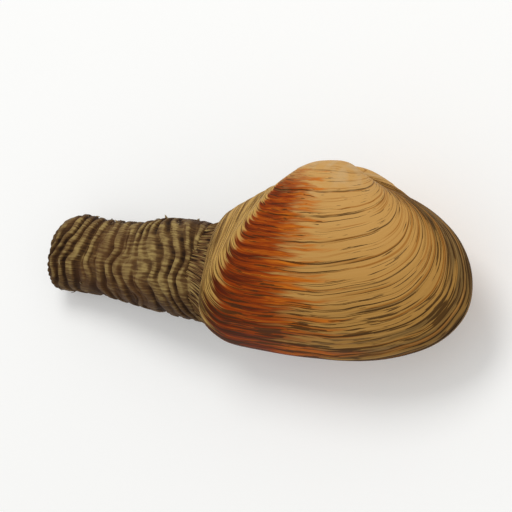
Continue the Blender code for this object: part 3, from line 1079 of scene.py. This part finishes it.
# How much the floor glows where the camera, a reflection or glass shows it, to look white.
FLOOR_GLOW = 0.22
# In metres: how far the middle of the view is left of and below the beaks, and how far off the lamps are.
VIEW_LEFT, VIEW_DOWN, LAMP_DISTANCE = 0.022, 0.01975, 0.9


def background_seen(add):
    """Nodes that give 1 to the rays that show the background, and 0 to those that light the clam."""
    path = add("LightPath").outputs
    mirrored = add("Math MAXIMUM", path["Is Camera Ray"], path["Is Glossy Ray"])
    return add("Math MAXIMUM", mirrored, path["Is Transmission Ray"])


class GAPER_OT_stage(bpy.types.Operator):
    """Lay the floor, set the soft light and place the camera"""

    bl_idname = "gaper.stage"
    bl_label = "Stage"

    def execute(self, context):
        scene = context.scene
        stage = scene.gaper_stage

        mesh = bpy.data.meshes.new("floor")
        mesh.from_pydata([(-4, -4, 0), (4, -4, 0), (4, 4, 0), (-4, 4, 0)], [], [(0, 1, 2, 3)])
        floor = bpy.data.objects.new("floor", mesh)
        scene.collection.objects.link(floor)
        # Pale matt paper, which shows white where nothing shades it.
        material, add, shader = new_material(
            "pale_paper", Base_Color=stage.floor, Roughness=0.9, Specular_IOR_Level=0.0
        )
        glow = add("Emission", Strength=add("Math MULTIPLY", background_seen(add), FLOOR_GLOW))
        fill(shader.id_data.nodes["Material Output"], Surface=add("AddShader", shader, glow))
        mesh.materials.append(material)

        world = bpy.data.worlds.new("soft_sky")
        world.use_nodes = True
        add = partial(add_node, world.node_tree)
        level = add("Mix FLOAT", background_seen(add), stage.sky, 1.0)
        fill(world.node_tree.nodes["Background"], Color=(1, 1, 1, 1), Strength=level)
        scene.world = world

        azimuth, elevation = stage.azimuth, stage.elevation
        across = Vector((math.sin(azimuth), -math.cos(azimuth), 0))
        back = across * math.cos(elevation) + Vector((0, 0, math.sin(elevation)))
        turned = (-back).to_track_quat("-Z", "Y").to_matrix() @ Matrix.Rotation(stage.roll, 3, "Z")
        right, up = turned.col[0], turned.col[1]
        aim = Vector(scene.gaper_lie.beaks) - right * VIEW_LEFT - up * VIEW_DOWN
        camera = bpy.data.objects.new("camera", bpy.data.cameras.new("camera"))
        camera.data.lens = stage.lens
        camera.data.clip_end = 20
        distance = stage.width * stage.lens / camera.data.sensor_width
        camera.matrix_world = Matrix.Translation(aim + back * distance) @ turned.to_4x4()
        scene.collection.objects.link(camera)
        scene.camera = camera

        for name, direction, size, share in (
            ("key_light", back * 0.7 + up * 0.9 - right * 0.5, 0.5, 1.0),
            ("fill_light", back + right * 0.8 - up * 0.3, 0.8, 0.25),
        ):
            lamp = bpy.data.lights.new(name, "AREA")
            lamp.shape = "DISK"
            lamp.size = size
            lamp.energy = stage.key * share
            light = bpy.data.objects.new(name, lamp)
            place = Matrix.Translation(direction.normalized() * LAMP_DISTANCE)
            light.matrix_world = place @ (-direction).to_track_quat("-Z", "Y").to_matrix().to_4x4()
            light.visible_camera = False
            scene.collection.objects.link(light)

        scene.view_settings.view_transform = "Standard"
        return {"FINISHED"}


class GAPER_PT_panel(bpy.types.Panel):
    """Operators and settings of the gaper clam"""

    bl_label = "Gaper Clam"
    bl_space_type = "VIEW_3D"
    bl_region_type = "UI"
    bl_category = "Gaper Clam"

    def draw(self, context):
        layout = self.layout
        for operator in OPERATORS:
            layout.operator(operator.bl_idname)
        for name in GROUPS:
            box = layout.box()
            settings = getattr(context.scene, name)
            for setting in settings.bl_rna.properties:
                if setting.identifier not in ("name", "rna_type"):
                    box.prop(settings, setting.identifier)


OPERATORS = (
    GAPER_OT_valves,
    GAPER_OT_siphon,
    GAPER_OT_cuff,
    GAPER_OT_shreds,
    GAPER_OT_ligament,
    GAPER_OT_stage,
)
GROUPS = {
    "gaper_lie": GAPER_PG_lie,
    "gaper_shell": GAPER_PG_shell,
    "gaper_siphon": GAPER_PG_siphon,
    "gaper_ligament": GAPER_PG_ligament,
    "gaper_stage": GAPER_PG_stage,
}


def register():
    for name, group in GROUPS.items():
        bpy.utils.register_class(group)
        setattr(bpy.types.Scene, name, PointerProperty(type=group))
    for part in OPERATORS + (GAPER_PT_panel,):
        bpy.utils.register_class(part)


def unregister():
    for part in (GAPER_PT_panel,) + OPERATORS[::-1]:
        bpy.utils.unregister_class(part)
    for name, group in reversed(GROUPS.items()):
        delattr(bpy.types.Scene, name)
        bpy.utils.unregister_class(group)


def main():
    register()
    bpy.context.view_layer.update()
    bpy.ops.gaper.valves()
    bpy.ops.gaper.siphon()
    bpy.ops.gaper.cuff()
    bpy.ops.gaper.shreds()
    bpy.ops.gaper.ligament()
    bpy.ops.gaper.stage()


if __name__ == "__main__":
    main()
